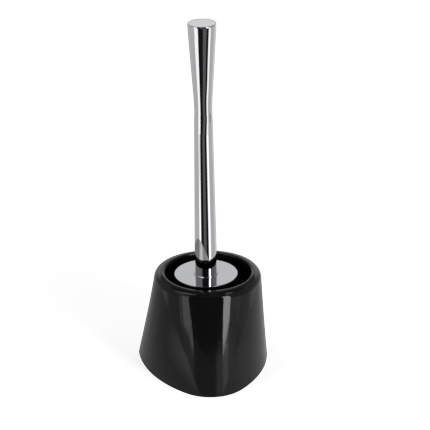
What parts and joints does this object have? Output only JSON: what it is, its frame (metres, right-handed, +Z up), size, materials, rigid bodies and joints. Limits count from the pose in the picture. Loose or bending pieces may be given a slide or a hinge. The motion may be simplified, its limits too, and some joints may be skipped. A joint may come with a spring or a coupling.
{
  "type": "toilet brush with holder",
  "caption": "Toilet brush with a flared chrome handle and round chrome lid, standing in a lift-out cup inside a gloss black rounded-triangle holder.",
  "frame": {"origin": "on the floor, under the middle of the holder's outline", "axes": "+Z up along the handle, -Y towards the holder's front corner, +X to the right seen from the front"},
  "size_m": [0.1356, 0.1412, 0.3694],
  "materials": {
    "shell_black": "high gloss black injection moulding",
    "base_black": "fine satin black moulding",
    "foot_rubber": "soft matte dark grey non-slip rubber",
    "cup_black": "semi-gloss black moulding",
    "core_black": "satin black moulding",
    "bristles": "black nylon filaments in tufts",
    "washer_rubber": "matte black rubber",
    "lid_chrome": "polished chrome plate",
    "stud_steel": "machined steel thread",
    "handle_chrome": "mirror polished chrome",
    "plug_white": "natural nylon insert"
  },
  "bodies": {
    "holder": {"holder_shell": "shell_black", "base_plate": "base_black", "foot_front": "foot_rubber", "foot_left": "foot_rubber", "foot_right": "foot_rubber"},
    "cup": {"inner_cup": "cup_black"},
    "head": {"brush_core": "core_black", "bristle_row_1": "bristles", "bristle_row_2": "bristles", "bristle_row_3": "bristles", "bristle_row_4": "bristles", "bristle_row_5": "bristles", "bristle_row_6": "bristles", "bristle_row_7": "bristles", "bristle_row_8": "bristles", "bristle_tip": "bristles"},
    "washer": {"seal_washer": "washer_rubber"},
    "handle": {"threaded_stud": "stud_steel", "lid_disc": "lid_chrome", "lid_ring": "lid_chrome", "handle_plug": "plug_white", "handle_tube": "handle_chrome", "handle_end_cap": "handle_chrome"}
  },
  "joints": [
    {"name": "cup_lift", "type": "slide", "parent": "holder", "child": "cup", "axis": [0, 0, 1], "range_m": [0, 0.115]},
    {"name": "brush_lift", "type": "slide", "parent": "cup", "child": "head", "axis": [-0.0133, 0, 0.9999], "range_m": [0, 0.115]},
    {"name": "thread_rise", "type": "slide", "parent": "head", "child": "washer", "axis": [-0.0133, 0, 0.9999], "range_m": [0, 0.012]},
    {"name": "handle_turn", "type": "hinge", "parent": "washer", "child": "handle", "pos_m": [0.00265, 0.01187, 0], "axis": [-0.0133, 0, 0.9999], "range_deg": [0, 1440]}
  ],
  "couplings": [
    {"joint": "handle_turn", "follows": "thread_rise", "rad_per_m": 2094.4}
  ]
}
